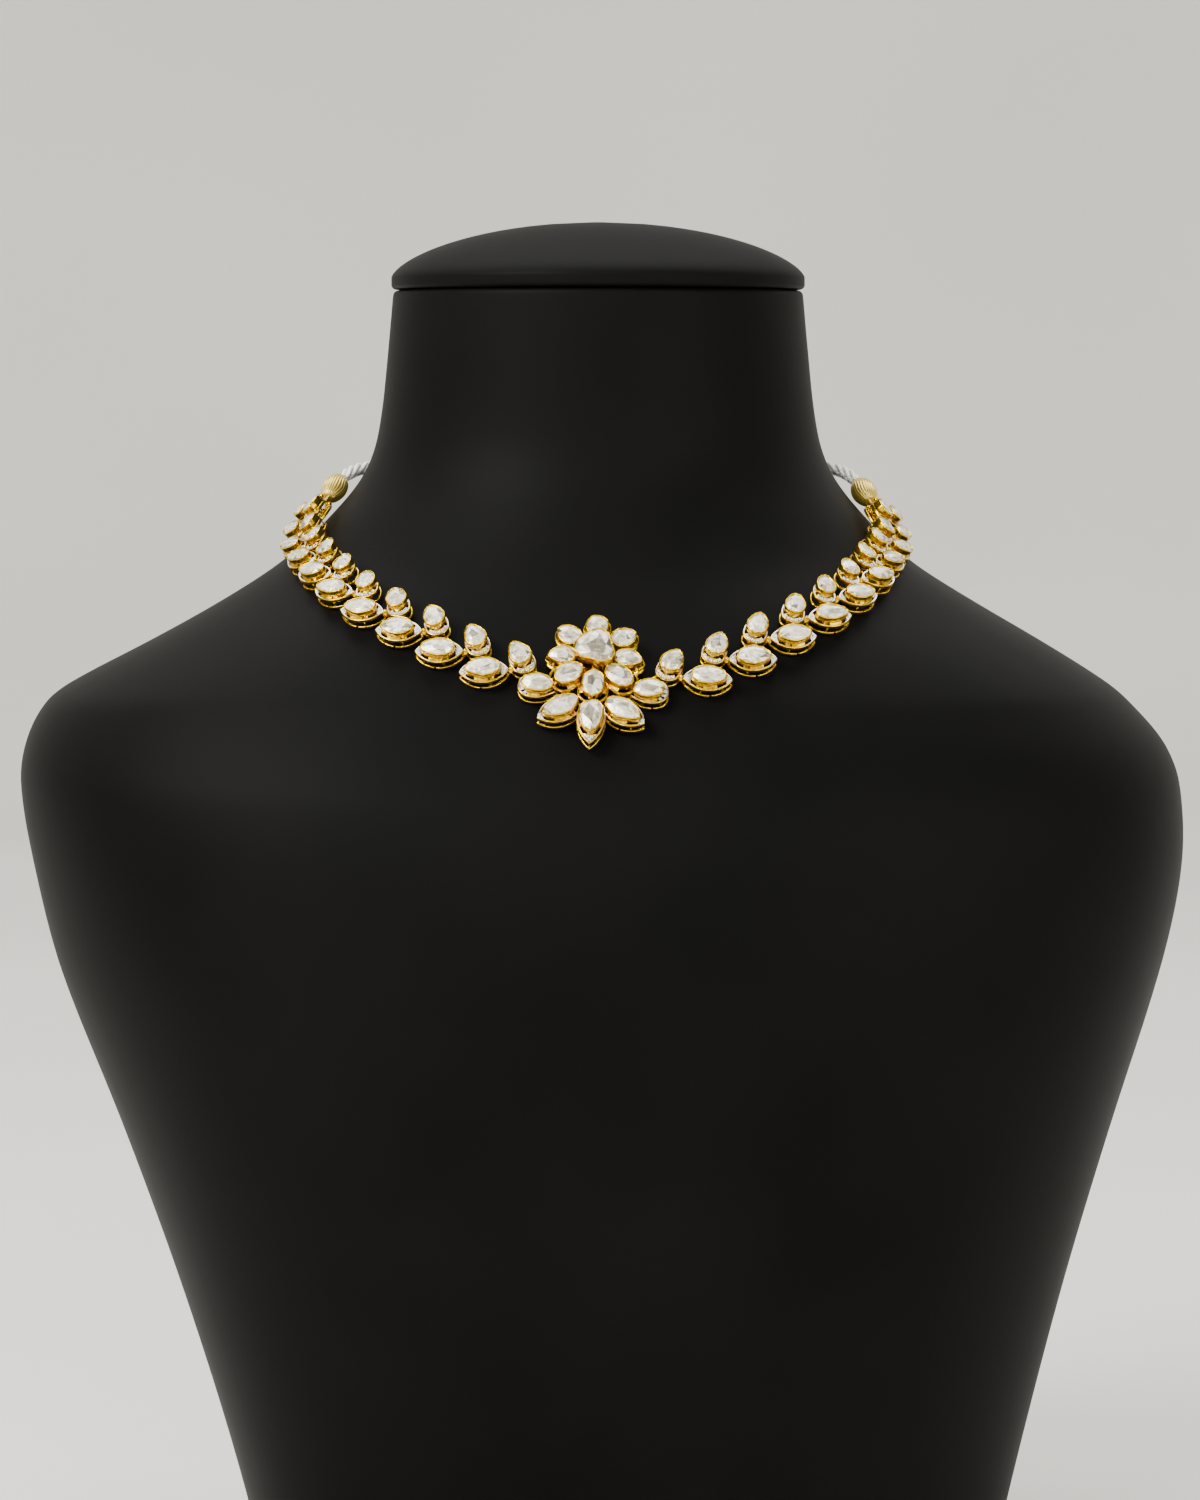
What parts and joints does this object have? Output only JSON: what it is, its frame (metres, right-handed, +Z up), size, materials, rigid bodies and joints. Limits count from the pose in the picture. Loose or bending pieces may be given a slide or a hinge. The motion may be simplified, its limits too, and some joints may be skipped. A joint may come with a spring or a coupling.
{
  "type": "kundan necklace on a neck bust",
  "caption": "Kundan necklace of flat uncut stones in open gold settings with a layered flower pendant and a beaded back, lying on a plain black neck bust.",
  "frame": {"origin": "on the surface the bust stands on, under the axis of its neck", "axes": "+Z up along the neck, the chest and the pendant face -Y, the necklace's right side in the picture is +X"},
  "size_m": [0.2977, 0.1862, 0.3439],
  "materials": {
    "leatherette": "matt black leatherette with a fine grain",
    "gold": "polished 22 carat gold, bright white on the top rims",
    "uncut_stone": "flat uncut stones over silver foil, cream white with grey facets",
    "gold_thread": "pale gold metal thread wound lengthwise",
    "seed_beads": "twisted bundle of small white seed beads"
  },
  "bodies": {
    "root": {"bust_body": "leatherette", "neck_cap": "leatherette", "pendant_frame": "gold", "centre_stone": "uncut_stone", "crown_stone_1": "uncut_stone", "crown_stone_2": "uncut_stone", "crown_stone_3": "uncut_stone", "crown_stone_4": "uncut_stone", "crown_stone_5": "uncut_stone", "inner_stone_1": "uncut_stone", "inner_stone_2": "uncut_stone", "inner_stone_3": "uncut_stone", "outer_stone_1": "uncut_stone", "outer_stone_2": "uncut_stone", "outer_stone_3": "uncut_stone", "outer_stone_4": "uncut_stone", "outer_stone_5": "uncut_stone", "left_link_1": "gold", "left_link_2": "gold", "left_link_3": "gold", "left_link_4": "gold", "left_link_5": "gold", "left_link_6": "gold", "left_link_7": "gold", "left_link_8": "gold", "left_link_9": "gold", "left_link_10": "gold", "right_link_1": "gold", "right_link_2": "gold", "right_link_3": "gold", "right_link_4": "gold", "right_link_5": "gold", "right_link_6": "gold", "right_link_7": "gold", "right_link_8": "gold", "right_link_9": "gold", "right_link_10": "gold", "left_link_stones": "uncut_stone", "left_jump_rings": "gold", "left_end_ring": "gold", "left_zari_bead": "gold_thread", "left_back_strand": "seed_beads", "right_link_stones": "uncut_stone", "right_jump_rings": "gold", "right_end_ring": "gold", "right_zari_bead": "gold_thread", "right_back_strand": "seed_beads", "nape_clasp": "gold"}
  },
  "joints": []
}
